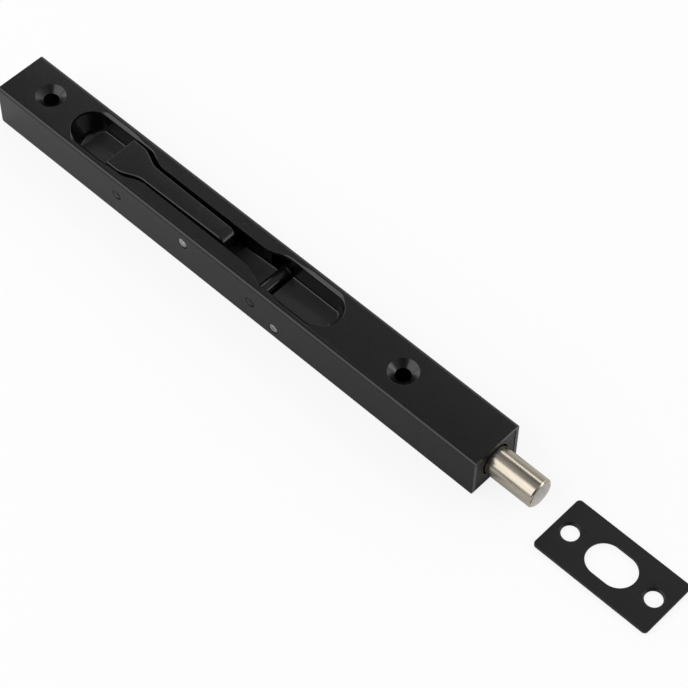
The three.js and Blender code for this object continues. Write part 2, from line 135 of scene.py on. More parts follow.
# Lever
LEVER_TOP = FACE - 0.2
LEVER_THICKNESS = 2.4
LEVER_HALF = POCKET_HALF - 0.4
LEVER_NECK_HALF = NECK_HALF - 0.8
LEVER_NOSE_HALF = LEVER_NECK_HALF - 0.4
LEVER_NOSE_CORNER = 1.2
LEVER_REACH = 37.0
LEVER_WIDE_UNTIL = 32.5
LEVER_NARROW_FROM = 23.5
LEVER_STEP_AT = 31.1
LEVER_STEP = 0.6
LEVER_NECK_UNDER = 10.5
LEVER_TIP_CORNER = 0.7
LEVER_EDGE = 0.75
# The lever's edge takes at most one of so many parts of its thickness
EDGE_PARTS = 3
HUB_RADIUS = 3.4
CRANK_REACH = 9.0
CRANK_BOSS = 2.3
NOSE_RADIUS = 3.5

# Bolt and its guide
BOLT_RADIUS = 4.85
BOLT_HEIGHT = 7.9
BOLT_TIP = 217.0
BOLT_SHOULDER = 188.4
BOLT_CHAMFER = 0.6
BOLT_SOFT = 0.12
# Chamfer with soft edges: shares of it back from the tip and in from the side
CHAMFER_SHARES = ((1.25, 0), (1, 0.08), (0.2, 0.86), (0.06, 1.1), (0, 1.4))
TENON_RADIUS = 2.5
TENON_END = 186.0
PEEN_RADIUS = 3.7
PEEN_THICKNESS = 0.9
# Peened head of the tenon: shares of its thickness and of its radius
PEEN_SHARES = ((0, 0), (0, 0.51), (0.13, 0.68), (0.45, 0.95), (0.67, 1), (1, 1))
GUIDE_START = 188.4
GUIDE_END = 199.85
GUIDE_HALF = INNER_HALF - 0.03
GUIDE_LOW = 0.1
GUIDE_TOP = FACE_UNDER - 0.03
GUIDE_BORE = BOLT_RADIUS + 0.42
GUIDE_EDGE = 0.05
GUIDE_CORNER = 0.3

# Strike plate
STRIKE_START = 223.3
STRIKE_END = 264.4
STRIKE_MIDDLE = (STRIKE_START + STRIKE_END) / 2
STRIKE_HALF = 10.2
STRIKE_THICKNESS = 1.2
STRIKE_CORNER = 1.3
STRIKE_EDGE = 0.2
STRIKE_SLOT_LENGTH = 16.4
STRIKE_SLOT_WIDTH = 11.5
STRIKE_HOLE_SPACING = 30.4
STRIKE_HOLE = 2.75
STRIKE_SINK = 3.3
STRIKE_LIP = 0.1

# The frame's origin is under the middle of the set
MIDDLE = STRIKE_END / 2

# Light of the surroundings, where 1 is white, and its patches: direction, inner and outer angle, light
SKY = 0.48
SKY_PATCHES = (
    ((-0.436, 0.418, 0.797), 9.0, 22.0, 0.22),
    ((0.64, -0.66, 0.4), 25.0, 42.0, 0.1),
    ((0.137, 0.966, 0.218), 14.0, 30.0, 1.5),
    ((-0.981, -0.102, 0.167), 14.0, 30.0, 2.2),
)

# Camera, worked out from the photograph
LENS = 125.84
SENSOR = 36.0
EYE = (285.5, -299.4, 583.3)
CAMERA_ACROSS = (0.723117, 0.690638, 0.010998)
CAMERA_AHEAD = (-0.392055, 0.423497, -0.816666)
CLIP_NEAR = 0.05
CLIP_FAR = 50

# Colours of the finishes, darkest and lightest
# Painted light: paler colour for the leaf spring under the opening
LEAF_LIT_LOW = (0.045, 0.045, 0.046)
LEAF_LIT_HIGH = (0.06, 0.059, 0.06)
INNER_LOW = (0.012, 0.012, 0.012)
INNER_HIGH = (0.02, 0.02, 0.02)
# Painted light: paler coat colour for the floors of the finger pockets
POCKET_LIT_LOW = (0.02, 0.02, 0.0203)
POCKET_LIT_HIGH = (0.026, 0.0258, 0.026)
TIP_LOW = (0.6, 0.565, 0.53)
TIP_HIGH = (0.9, 0.85, 0.82)
FLOOR_WHITE = (0.94, 0.94, 0.94)
# Painted shade: floor colour inside the channel and, in mirrors, beside it
FLOOR_SHADE = (0.15, 0.15, 0.15)
COAT_LOW = (0.003, 0.003, 0.0031)
COAT_HIGH = (0.0045, 0.0044, 0.0045)
PLATE_LOW = (0.003, 0.003, 0.0031)
PLATE_HIGH = (0.0045, 0.0044, 0.0046)
BOLT_LOW = (0.345, 0.309, 0.257)
BOLT_HIGH = (0.44, 0.396, 0.33)
PIN_LOW = (0.16, 0.16, 0.155)
PIN_HIGH = (0.7, 0.69, 0.67)
CAST_LOW = (0.022, 0.022, 0.022)
CAST_HIGH = (0.045, 0.046, 0.045)

# Roughness, shine and grain of the finishes
COAT_ROUGH = (0.19, 0.27)
COAT_SHINE = 0.42
PLATE_ROUGH = (0.4, 0.5)
PLATE_SHINE = 0.3
BAR_SHINE = 0.12
BOLT_ROUGH = (0.18, 0.27)
PIN_ROUGH = (0.4, 0.6)
CAST_ROUGH = (0.4, 0.55)
TIP_ROUGH = (0.4, 0.6)
TIP_DEPTH = 0.04
CLOUD_SCALE = 120
CLOUD_DETAIL = 3
GRAIN_SCALE = 2200
GRAIN_DETAIL = 4
SPECKLE_SCALE = 2600
NOISE_LOW = 0.3
NOISE_HIGH = 0.7
COAT_BUMP = 0.25
COAT_BUMP_HEIGHT = 0.02
METAL_BUMP_HEIGHT = 0.01

# Working marks of the metals: how many to a metre, their stretch along X, Y and Z, and their strength
BOLT_MARKS = (900, (0.1, 1, 1), 0.2)
PIN_MARKS = (1800, (1, 1, 1), 0.9)
INNER_MARKS = (500, (1, 1, 1), 0.3)
CAST_MARKS = (700, (1, 1, 1), 0.5)

# Sockets of the mix node that belong to colours
MIX_MASK = 0
MIX_FIRST = 6
MIX_SECOND = 7
MIX_RESULT = 2

# Shares of the floor that are plain white to the eye and in mirrors, over its shadow
FLOOR_PLAIN = 0.85
FLOOR_MIRRORED = 0.14
FLOOR_SOFT = 0.5
FLOOR_ROUGH = 0.9
WHITE = (1, 1, 1, 1)

# Shade beside the channel that only mirrors show: its depth by the bolt, how far it fades towards the
# lever end and past it, and half its width
SIDE_SHADE = 0.66
SHADE_REACH = 400.0
SHADE_PAST = 10.0
SHADE_HALF = 22.0

# Half the floor's size and its drop below the object, in metres
FLOOR_REACH = 8.0
FLOOR_DROP = 0.00002

# Soft lamps: name, place and size in metres, and brightness where 1 is white
LAMPS = (
    ("key", (-0.50, -0.83, 0.75), (1.3, 1.08), 2.0),
    ("back", (-0.52, 0.76, 0.84), (1.3, 0.26), 2.4),
    ("end", (0.95, 0.76, 0.50), (0.8, 0.45), 3.2),
)

# Steps of curved shapes, and the least gap between two sections of the lever
ARC = 8
ROUND = 64
FINE_ROUND = 96
PIN_ROUND = 48
TAPER = 18
STATION_GAP = 0.008

# Joining of points, in metres, and angles in degrees from which an edge stays a crease
SAME_POINT = 2e-7
NO_LENGTH = 1e-8
SHEET_CREASE = 40.0
LEVER_CREASE = 35.0
BOLT_CREASE = 32.0
PIN_CREASE = 50.0
SHADING_WEIGHT = 90


def make_camera():
    data = bpy.data.cameras.new("camera")
    data.lens = LENS
    data.sensor_width = SENSOR
    data.clip_start = CLIP_NEAR
    data.clip_end = CLIP_FAR
    camera = bpy.data.objects.new("camera", data)
    across = Vector(CAMERA_ACROSS).normalized()
    ahead = Vector(CAMERA_AHEAD).normalized()
    up = across.cross(ahead).normalized()
    turn = Matrix((across, up, -ahead)).transposed().to_4x4()
    camera.matrix_world = Matrix.Translation(Vector(EYE) * MM) @ turn
    bpy.context.scene.collection.objects.link(camera)
    bpy.context.scene.camera = camera


# Meshes

def placed(point):
    """A point in millimetres from the lever end, in metres in the frame."""
    return Vector(((point[0] - MIDDLE) * MM, point[1] * MM, point[2] * MM))


class Skin:
    """Collects the surface of one piece in millimetres."""

    def __init__(self):
        self.points = []
        self.faces = []

    def add(self, point):
        self.points.append(point)
        return len(self.points) - 1

    def row(self, points):
        return [self.add(point) for point in points]

    def strip(self, a, b, closed=False):
        """Quads between two rows of the same length."""
        count = len(a)
        last = count if closed else count - 1
        for i in range(last):
            j = (i + 1) % count
            self.faces.append((a[i], a[j], b[j], b[i]))

    def rows(self, rows, closed=False):
        made = [self.row(points) for points in rows]
        for a, b in zip(made, made[1:]):
            self.strip(a, b, closed)
        return made

    def flat(self, loops):
        """Flat face with holes; the first loop is the outside."""
        points = [point for loop in loops for point in loop]
        for face in tessellate_polygon([[Vector(p) for p in loop] for loop in loops]):
            self.faces.append(tuple(self.add(points[i]) for i in face))


def finish_mesh(bm):
    """Joins equal points and turns every face outwards."""
    bmesh.ops.remove_doubles(bm, verts=bm.verts, dist=SAME_POINT)
    bmesh.ops.dissolve_degenerate(bm, dist=NO_LENGTH, edges=bm.edges)
    bmesh.ops.recalc_face_normals(bm, faces=bm.faces)


def object_of(name, skin, material, body, nodes, sharp):
    """Piece from a skin, riding on a body and standing for some nodes; its creases start at an angle."""
    mesh = bpy.data.meshes.new(name)
    bm = bmesh.new()
    made = [bm.verts.new(placed(point)) for point in skin.points]
    for face in skin.faces:
        if len(set(face)) == len(face):
            bm.faces.new([made[i] for i in face])
    finish_mesh(bm)
    bm.to_mesh(mesh)
    bm.free()
    mesh.materials.append(material)
    for polygon in mesh.polygons:
        polygon.use_smooth = True
    mesh.set_sharp_from_angle(angle=math.radians(sharp))
    piece = bpy.data.objects.new(name, mesh)
    bpy.context.scene.collection.objects.link(piece)
    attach(piece, body)
    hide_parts(*nodes)
    return piece


def even_shading(piece):
    """Keeps flat faces flat beside rounded ones."""
    weighted = piece.modifiers.new("shading", "WEIGHTED_NORMAL")
    weighted.keep_sharp = True
    weighted.weight = SHADING_WEIGHT


def arc_points(steps, start=0.0, end=90.0):
    """Sine and cosine along an arc."""
    angles = [math.radians(start + (end - start) * i / steps) for i in range(steps + 1)]
    return [(math.sin(angle), math.cos(angle)) for angle in angles]


def circle(x, y, radius, count=ROUND):
    turns = [2 * math.pi * i / count for i in range(count)]
    return [(x + radius * math.cos(turn), y + radius * math.sin(turn)) for turn in turns]


def rounded_rectangle(x0, x1, y0, y1, radius, steps=ARC):
    """Outline with rounded corners, turning left."""
    corners = (
        (x1 - radius, y0 + radius, -90),
        (x1 - radius, y1 - radius, 0),
        (x0 + radius, y1 - radius, 90),
        (x0 + radius, y0 + radius, 180),
    )
    outline = []
    for x, y, start in corners:
        for i in range(steps + 1):
            turn = math.radians(start + 90 * i / steps)
            outline.append((x + radius * math.cos(turn), y + radius * math.sin(turn)))
    return outline


def stadium(x, length, width, steps=ROUND // 2):
    """Outline of a slot with round ends."""
    radius = width / 2
    reach = length / 2 - radius
    outline = []
    for side, start in ((1, -90), (-1, 90)):
        for i in range(steps + 1):
            turn = math.radians(start + 180 * i / steps)
            outline.append((x + side * reach + radius * math.cos(turn), radius * math.sin(turn)))
    return outline


def at_height(outline, z):
    return [(x, y, z) for x, y in outline]


# Housing

def smooth(value, low, high):
    share = min(1.0, max(0.0, (value - low) / (high - low)))
    return share * share * (3 - 2 * share)


def opening_points():
    """Quarter of the face opening: distance from the pivot, half width and outward direction."""
    centre = POCKET_REACH - POCKET_HALF
    points = []
    for sine, cosine in arc_points(2 * ARC):
        points.append((centre + POCKET_HALF * cosine, POCKET_HALF * sine, cosine, sine))
    for i in range(1, TAPER + 1):
        points.append((centre + (POCKET_INNER - centre) * i / TAPER, POCKET_HALF, 0.0, 1.0))
    for i in range(TAPER + 1):
        distance = WIDE_FROM + (NECK_REACH - WIDE_FROM) * i / TAPER
        share = smooth(distance, NECK_REACH, WIDE_FROM)
        points.append((distance, NECK_HALF + (POCKET_HALF - NECK_HALF) * share, 0.0, 1.0))
    return points


def rim_at(distance, along):
    """Width of the rolled rim: a line at the neck, wide along a pocket and narrow round its end."""
    line = NECK_RIM + (SLOPE_RIM - NECK_RIM) * smooth(distance, SLOPE_FROM, SLOPE_UNTIL)
    rim = line + (POCKET_RIM - line) * smooth(distance, RIM_FROM, RIM_UNTIL)
    return rim * (1 - RIM_END_LOSS * smooth(along, 0.0, RIM_LOST_AT))


def all_round(quarter):
    """Whole outline, turning left, from its first quarter; each point starts with x and y."""
    left = [(-x, y, *rest) for x, y, *rest in reversed(quarter)]
    upper = quarter + left
    lower = [(x, -y, *rest) for x, y, *rest in reversed(upper[1:-1])]
    return [(PIVOT + x, y, *rest) for x, y, *rest in upper + lower]


def opening_outline(grow):
    """Face opening at a share of its rim's width, with the rim's local size."""
    quarter = []
    for distance, half, along, across in opening_points():
        rim = rim_at(distance, along)
        quarter.append((distance + along * rim * grow, half + across * rim * grow, rim))
    return all_round(quarter)


def opening_rows():
    """Sloped rim of the face opening, from the face down to the underside."""
    rows = []
    for width, depth in RIM_SHARES:
        rows.append([(x, y, FACE - min(rim * depth, SHEET)) for x, y, rim in opening_outline(width)])
    rows.append([(x, y, FACE_UNDER) for x, y, rim in opening_outline(0)])
    return rows


def pocket_directions():
    """One pocket from its open end round and back: place from the pivot and outward direction."""
    centre = POCKET_REACH - POCKET_HALF
    turns = [math.pi * (i / (4 * ARC) - 0.5) for i in range(4 * ARC + 1)]
    end = [(centre, math.cos(turn), math.sin(turn)) for turn in turns]
    return [(POCKET_INNER, 0.0, -1.0), *end, (POCKET_INNER, 0.0, 1.0)]


def pocket_row(side, radius, floor, fillet, sine, cosine):
    """Row round a pocket at a turn of its floor fillet; the round end is scooped out less steeply."""
    row = []
    for x, along, across in pocket_directions():
        share = smooth(along, 0, 1)
        bend = fillet + (POCKET_END_FILLET - POCKET_FILLET) * share
        draft = POCKET_DRAFT + (POCKET_END_DRAFT - POCKET_DRAFT) * share
        reach = radius - draft - bend * (1 - cosine)
        row.append((PIVOT + side * (x + reach * along), reach * across, floor + bend * (1 - sine)))
    return row


def pocket_rows(side, radius, floor, fillet):
    """Wall and floor fillet of a pocket, from its top down."""
    top = [
        (PIVOT + side * (x + radius * along), radius * across, FACE_UNDER)
        for x, along, across in pocket_directions()
    ]
    turns = arc_points(2 * ARC)
    return [top] + [pocket_row(side, radius, floor, fillet, *turn) for turn in turns]


def add_pocket(skin, side):
    floor = FACE - POCKET_DEPTH
    outer_fillet = POCKET_FILLET + POCKET_WALL
    inner = pocket_rows(side, POCKET_HALF, floor, POCKET_FILLET)
    outer = pocket_rows(side, POCKET_HALF + POCKET_WALL, floor - POCKET_WALL, outer_fillet)
    inside = skin.rows(inner)
    outside = skin.rows(outer)
    skin.flat([inner[-1]])
    skin.flat([outer[-1]])
    for end in (0, -1):
        skin.strip([row[end] for row in inside], [row[end] for row in outside])
    skin.faces.append((inside[-1][0], inside[-1][-1], outside[-1][-1], outside[-1][0]))


def sink_profile():
    """Upper side of a formed countersink, from the face down through its hole."""
    slope = math.atan2(SINK_RADIUS - SCREW_RADIUS, SINK_DEPTH)
    lean = math.pi / 2 - slope
    radius = SINK_RADIUS + SINK_LIP * math.tan(lean / 2)
    points = []
    for i in range(ARC + 1):
        turn = lean * i / ARC
        points.append((radius - SINK_LIP * math.sin(turn), FACE - SINK_LIP * (1 - math.cos(turn))))
    points.append((SCREW_RADIUS, FACE - SINK_DEPTH))
    points.append((SCREW_RADIUS, FACE - SINK_DEPTH - DIMPLE_WALL))
    return points


def dimple_profile():
    """Lower side of a formed countersink, from its hole up to the underside."""
    bottom = FACE - SINK_DEPTH - DIMPLE_WALL
    return [
        (SCREW_RADIUS, bottom),
        (SCREW_RADIUS + DIMPLE_WALL, bottom),
        (SINK_RADIUS + DIMPLE_WALL, FACE_UNDER),
    ]


def add_sink(skin, x):
    rows = [at_height(circle(x, 0, radius), z) for radius, z in sink_profile()]
    skin.rows(rows, closed=True)
    rows = [at_height(circle(x, 0, radius), z) for radius, z in dimple_profile()]
    skin.rows(rows, closed=True)


def underside_hole():
    """Outline on the underside round the neck and both pocket shells."""
    centre = POCKET_REACH - POCKET_HALF
    radius = POCKET_HALF + POCKET_WALL
    quarter = [(centre + radius * cosine, radius * sine) for sine, cosine in arc_points(2 * ARC)]
    quarter.append((POCKET_INNER, radius))
    for distance, half, along, across in opening_points():
        if distance < POCKET_INNER:
            quarter.append((distance, half))
    return all_round(quarter)


def flange_outline(top):
    """One side of the channel in X and Z: down one end, round both back corners and up the other."""
    left = [(FLANGE_CORNER * (1 - cosine), FLANGE_CORNER * (1 - sine)) for sine, cosine in arc_points(ARC)]
    right = [(HOUSING_LENGTH - x, z) for x, z in reversed(left)]
    return [(0, top), *left, *right, (HOUSING_LENGTH, top)]


def upright(outline, y):
    return [(x, y, z) for x, z in outline]


def bend_rows(side, radius, half, top):
    """Bend of the sheet, from the side up to the face, as points at both ends."""
    rows = []
    for sine, cosine in arc_points(ARC):
        y = side * (half - radius + radius * cosine)
        z = top - radius + radius * sine
        rows.append([(end, y, z) for end in (0, HOUSING_LENGTH)])
    return rows


def pin_hole_rows(side, x, z, radius):
    """Hole of a pin through a side: a shallow ring outside, a little off centre, and a close fit inside."""
    ring = circle(x + PIN_RING_SHIFT, z, radius + PIN_RING, PIN_ROUND)
    fit = circle(x, z, radius + PIN_FIT, PIN_ROUND)
    bottom = HALF - PIN_RING_DEPTH
    layers = ((ring, HALF), (ring, bottom), (fit, bottom), (fit, INNER_HALF))
    return [upright(outline, side * half) for outline, half in layers]


def add_side(skin, side):
    """Side of the channel with its pin holes, its bend and its sheet edges."""
    holes = [pin_hole_rows(side, *place, radius) for place, radius in PINS]
    layers = ((HALF, FACE - BEND), (INNER_HALF, FACE_UNDER - INNER_BEND))
    outlines = [upright(flange_outline(top), side * half) for half, top in layers]
    for outline, row in zip(outlines, (0, -1)):
        skin.flat([outline, *[hole[row] for hole in holes]])
    skin.rows(outlines)
    for hole in holes:
        skin.rows(hole, closed=True)
    outer = bend_rows(side, BEND, HALF, FACE)
    inner = bend_rows(side, INNER_BEND, INNER_HALF, FACE_UNDER)
    skin.rows(outer)
    skin.rows(inner)
    for end in (0, 1):
        skin.rows([[row[end] for row in outer], [row[end] for row in inner]])


def face_flat(half, z):
    """Corners of the flat stretch of the face or of its underside."""
    return [(0, -half, z), (HOUSING_LENGTH, -half, z), (HOUSING_LENGTH, half, z), (0, half, z)]


def add_face(skin):
    """Face and its underside, with the opening, the pockets and the countersinks."""
    outer = face_flat(HALF - BEND, FACE)
    inner = face_flat(INNER_HALF - INNER_BEND, FACE_UNDER)
    for a, b in ((0, 3), (1, 2)):
        skin.rows([[outer[a], outer[b]], [inner[a], inner[b]]])
    rim = opening_rows()
    skin.rows(rim, closed=True)
    sinks = [at_height(circle(x, 0, sink_profile()[0][0]), FACE) for x in SCREW_PLACES]
    skin.flat([outer, rim[0], *sinks])
    dimples = [at_height(circle(x, 0, dimple_profile()[-1][0]), FACE_UNDER) for x in SCREW_PLACES]
    skin.flat([inner, at_height(underside_hole(), FACE_UNDER), *dimples])


def add_end_wall(skin):
    """Wall folded down between the sides at the lever end."""
    section = [(y, z) for y in (-INNER_HALF, INNER_HALF) for z in (FLANGE_CORNER, FACE_UNDER)]
    corners = [section[i] for i in (0, 1, 3, 2)]
    ends = [[(x, y, z) for y, z in corners] for x in (END_WALL_SET_BACK, SHEET)]
    skin.rows(ends, closed=True)
    for end in ends:
        skin.flat([end])


def housing_skin():
    skin = Skin()
    for side in (-1, 1):
        add_side(skin, side)
        add_pocket(skin, side)
    add_face(skin)
    add_end_wall(skin)
    for x in SCREW_PLACES:
        add_sink(skin, x)
    return skin


def make_housing(material):
    skin = housing_skin()
    piece = object_of("housing_sheet", skin, material, "frame", ["housing"], SHEET_CREASE)
    even_shading(piece)
    return piece


# Lever

def rounded_corner(size, depth):
    """How far a round corner of a size draws in at a depth behind its end."""
    left = max(0.0, size - depth)
    return size - math.sqrt(max(0.0, size * size - left * left))


def lever_half(x):
    """Half width of the lever along its length."""
    tip = PIVOT - LEVER_REACH
    crank = PIVOT + CRANK_REACH
    end = crank + CRANK_BOSS
    narrow = PIVOT - LEVER_NARROW_FROM
    if x <= narrow:
        share = smooth(x, PIVOT - LEVER_WIDE_UNTIL, narrow)
        wide = LEVER_HALF + (LEVER_NECK_HALF - LEVER_HALF) * share
        return wide - rounded_corner(LEVER_TIP_CORNER, x - tip)
    share = min(1.0, (x - narrow) / (crank - narrow))
    half = LEVER_NECK_HALF + (LEVER_NOSE_HALF - LEVER_NECK_HALF) * share
    return half - rounded_corner(LEVER_NOSE_CORNER, end - x)


def lever_under(x):
    step = PIVOT - LEVER_STEP_AT
    crank = PIVOT + CRANK_REACH
    if x <= step - LEVER_STEP:
        return LEVER_TOP - LEVER_THICKNESS
    if x <= step:
        share = (x - step + LEVER_STEP) / LEVER_STEP
        return LEVER_TOP - LEVER_THICKNESS + (LEVER_NECK_UNDER - LEVER_TOP + LEVER_THICKNESS) * share
    if x <= PIVOT - HUB_RADIUS:
        return LEVER_NECK_UNDER
    if x <= PIVOT:
        return PIVOT_HEIGHT - math.sqrt(max(0.0, HUB_RADIUS ** 2 - (x - PIVOT) ** 2))
    if x <= crank:
        share = (x - PIVOT) / CRANK_REACH
        return PIVOT_HEIGHT - HUB_RADIUS + (HUB_RADIUS - CRANK_BOSS) * share
    return PIVOT_HEIGHT - math.sqrt(max(0.0, CRANK_BOSS ** 2 - (x - crank) ** 2))


def lever_top(x):
    end = PIVOT + CRANK_REACH + CRANK_BOSS
    start = end - NOSE_RADIUS
    if x <= start:
        return LEVER_TOP
    return LEVER_TOP - NOSE_RADIUS + math.sqrt(max(0.0, NOSE_RADIUS ** 2 - (x - start) ** 2))


def lever_stations():
    """Places along the lever where its section is drawn."""
    tip = PIVOT - LEVER_REACH
    step = PIVOT - LEVER_STEP_AT
    narrow = PIVOT - LEVER_NARROW_FROM
    wide = PIVOT - LEVER_WIDE_UNTIL
    end = PIVOT + CRANK_REACH + CRANK_BOSS
    places = [step - LEVER_STEP, step, PIVOT + CRANK_REACH]
    places += [tip + LEVER_TIP_CORNER * (1 - cosine) for sine, cosine in arc_points(2 * ARC)]
    places += [tip + LEVER_EDGE * (1 - cosine) for sine, cosine in arc_points(ARC)]
    places += [wide + (narrow - wide) * i / TAPER for i in range(TAPER + 1)]
    places += [PIVOT - HUB_RADIUS * cosine for sine, cosine in arc_points(2 * ARC)]
    places += [end - NOSE_RADIUS * (1 - sine) for sine, cosine in arc_points(3 * ARC)]
    places += [end - LEVER_EDGE * (1 - cosine) for sine, cosine in arc_points(ARC)]
    places += [narrow + (PIVOT - HUB_RADIUS - narrow) * i / TAPER for i in range(TAPER + 1)]
    ordered = sorted(places)
    following = ordered[1:] + [math.inf]
    return [a for a, b in zip(ordered, following) if b - a > STATION_GAP]


def lever_ring(x):
    """Section of the lever with rounded edges, drawn in towards both its ends."""
    tip = PIVOT - LEVER_REACH
    end = PIVOT + CRANK_REACH + CRANK_BOSS
    inset = rounded_corner(LEVER_EDGE, min(x - tip, end - x))
    half = lever_half(x) - inset
    low, top = lever_under(x) + inset, lever_top(x) - inset
    edge = min(LEVER_EDGE, (top - low) / EDGE_PARTS)
    return [(x, y, z) for y, z in rounded_rectangle(-half, half, low, top, edge, ARC // 2)]


def make_lever(material):
    skin = Skin()
    rings = [lever_ring(x) for x in lever_stations()]
    skin.rows(rings, closed=True)
    for end in (rings[0], rings[-1]):
        skin.flat([end])
    piece = object_of("flip_lever", skin, material, "lever", ["lever"], LEVER_CREASE)
    even_shading(piece)
    return piece


# Round things

def turned_along(profile, height, count):
    """Rows round an axis along X at a height, from places along it and radii."""
    return [
        [(place, y, height + z) for y, z in circle(0, 0, radius, count)]
        for place, radius in profile
    ]


def turned_across(profile, x, height, count):
    """Rows round an axis along Y, from places along it and radii."""
    return [
        [(x + a, place, height + b) for a, b in circle(0, 0, radius, count)]
        for place, radius in profile
    ]


def bolt_profile():
    """Bolt from its peened tenon to its chamfered tip, as places and radii."""
    head = TENON_END - PEEN_THICKNESS
    peen = [(head + PEEN_THICKNESS * along, PEEN_RADIUS * across) for along, across in PEEN_SHARES]
    tip = [
        (BOLT_TIP - BOLT_CHAMFER * back, BOLT_RADIUS - BOLT_CHAMFER * inward)
        for back, inward in CHAMFER_SHARES
    ]
    return [
        *peen,
        (TENON_END, TENON_RADIUS),
        (BOLT_SHOULDER, TENON_RADIUS),
        (BOLT_SHOULDER, BOLT_RADIUS - BOLT_SOFT),
        (BOLT_SHOULDER + BOLT_SOFT, BOLT_RADIUS),
        *tip,
        (BOLT_TIP, 0),
    ]


def make_bolt(material):
    skin = Skin()
    skin.rows(turned_along(bolt_profile(), BOLT_HEIGHT, FINE_ROUND), closed=True)
    piece = object_of("round_bolt", skin, material, "bolt", ["bolt"], BOLT_CREASE)
    even_shading(piece)
    return piece


def pin_profile(radius, half):
    """Pin with a small domed head at both ends."""
    side = [(half - PIN_DOME * depth, radius * share) for depth, share in PIN_SHARES]
    return side + [(-place, size) for place, size in reversed(side)]


def make_pin(name, node, place, radius, material):
    """Pin through both sides of the channel, standing a little proud of them."""
    skin = Skin()
    profile = pin_profile(radius, HALF + PIN_PROUD)
    skin.rows(turned_across(profile, *place, PIN_ROUND), closed=True)
    return object_of(name, skin, material, "frame", [node], PIN_CREASE)


# Flat plates with holes, lying in two axes and thick along the third

def edge_rows(outline_at, low, high, edge):
    """Rows down the side of a plate with both its edges rounded; outline_at takes an inset."""
    rows = []
    for sine, cosine in arc_points(ARC // 2):
        rows.append([(*p, high - edge * (1 - cosine)) for p in outline_at(edge * (1 - sine))])
    for sine, cosine in reversed(arc_points(ARC // 2)):
        rows.append([(*p, low + edge * (1 - cosine)) for p in outline_at(edge * (1 - sine))])
    return rows


def strike_outside(inset):
    half = STRIKE_HALF - inset
    return rounded_rectangle(
        STRIKE_START + inset, STRIKE_END - inset, -half, half, STRIKE_CORNER - inset,
    )


def strike_slot(inset):
    return stadium(STRIKE_MIDDLE, STRIKE_SLOT_LENGTH + 2 * inset, STRIKE_SLOT_WIDTH + 2 * inset)


def strike_hole_rows(x):
    """Countersunk screw hole, from the top of the plate down."""
    cone_low = STRIKE_THICKNESS - STRIKE_SINK + STRIKE_HOLE
    profile = (
        (STRIKE_SINK + STRIKE_LIP, STRIKE_THICKNESS),
        (STRIKE_SINK, STRIKE_THICKNESS - STRIKE_LIP / 2),
        (STRIKE_HOLE, cone_low),
        (STRIKE_HOLE, STRIKE_LIP),
        (STRIKE_HOLE + STRIKE_LIP, 0),
    )
    return [at_height(circle(x, 0, radius), z) for radius, z in profile]


def make_strike(material):
    skin = Skin()
    outlines = (strike_outside, strike_slot)
    loops = [edge_rows(outline_at, 0, STRIKE_THICKNESS, STRIKE_EDGE) for outline_at in outlines]
    for side in (-1, 1):
        loops.append(strike_hole_rows(STRIKE_MIDDLE + side * STRIKE_HOLE_SPACING / 2))
    for rows in loops:
        skin.rows(rows, closed=True)
    skin.flat([rows[0] for rows in loops])
    skin.flat([rows[-1] for rows in loops])
    nodes = ["strike_plate"]
    piece = object_of("strike_sheet", skin, material, "frame", nodes, SHEET_CREASE)
    even_shading(piece)
    return piece


def guide_outside(inset):
    half = GUIDE_HALF - inset
    return rounded_rectangle(-half, half, GUIDE_LOW + inset, GUIDE_TOP - inset, GUIDE_CORNER)


def guide_bore(inset):
    return circle(0, BOLT_HEIGHT, GUIDE_BORE + inset)


def make_guide(material):
    skin = Skin()
    loops = []
    for outline_at in (guide_outside, guide_bore):
        rows = edge_rows(outline_at, GUIDE_START, GUIDE_END, GUIDE_EDGE)
        loops.append([[(x, y, z) for y, z, x in row] for row in rows])
    for rows in loops:
        skin.rows(rows, closed=True)
    skin.flat([rows[0] for rows in loops])
    skin.flat([rows[-1] for rows in loops])
    nodes = ["bolt_guide"]
    piece = object_of("guide_block", skin, material, "frame", nodes, SHEET_CREASE)
    even_shading(piece)
    return piece


# Leaf spring

def leaf_ring(x, inset):
    """Section of the leaf, which rises towards the rest pin and has a low lip along both edges."""
    share = (x - LEAF_START) / (REST_RIGHT[0] - LEAF_START)
    low = LEAF_START_LOW + (LEAF_END_LOW - LEAF_START_LOW) * share + inset
    top = low + LEAF_THICKNESS - 2 * inset
    half = LEAF_HALF - inset
    flat = LEAF_HALF - LEAF_LIP_WIDTH
    right = [(half, low), (half, top + LEAF_LIP), (flat, top)]
    outline = right + [(-y, z) for y, z in reversed(right)]
    return [(x, y, z) for y, z in outline]


def eye_profile():
    """Rolled eye from one end to the other and back through its bore, as places across and radii."""
    half = [
        (EYE_WAIST_HALF, EYE_WAIST),
        (EYE_WAIST_HALF + LEAF_EDGE, EYE_RADIUS),
        (EYE_HALF - LEAF_EDGE, EYE_RADIUS),
        (EYE_HALF, EYE_RADIUS - LEAF_EDGE),
        (EYE_HALF, EYE_BORE),
    ]
    return [(-y, radius) for y, radius in reversed(half)] + half


def make_spring(material):
    skin = Skin()
    sections = (
        (LEAF_START, LEAF_EDGE),
        (LEAF_START + LEAF_EDGE, 0),
        (REST_RIGHT[0] - EYE_BORE, 0),
    )
    rings = [leaf_ring(*section) for section in sections]
    skin.rows(rings, closed=True)
    for end in (rings[0], rings[-1]):
        skin.flat([end])
    profile = eye_profile()
    skin.rows(turned_across(profile + profile[:1], *REST_RIGHT, ROUND), closed=True)
    nodes = ["detent_spring"]
    piece = object_of("rest_spring", skin, material, "frame", nodes, SHEET_CREASE)
    even_shading(piece)
    return piece


# Materials

def new_material(name):
    material = bpy.data.materials.new(name)
    material.use_nodes = True
    nodes = material.node_tree.nodes
    return material, nodes, material.node_tree.links, nodes["Principled BSDF"]


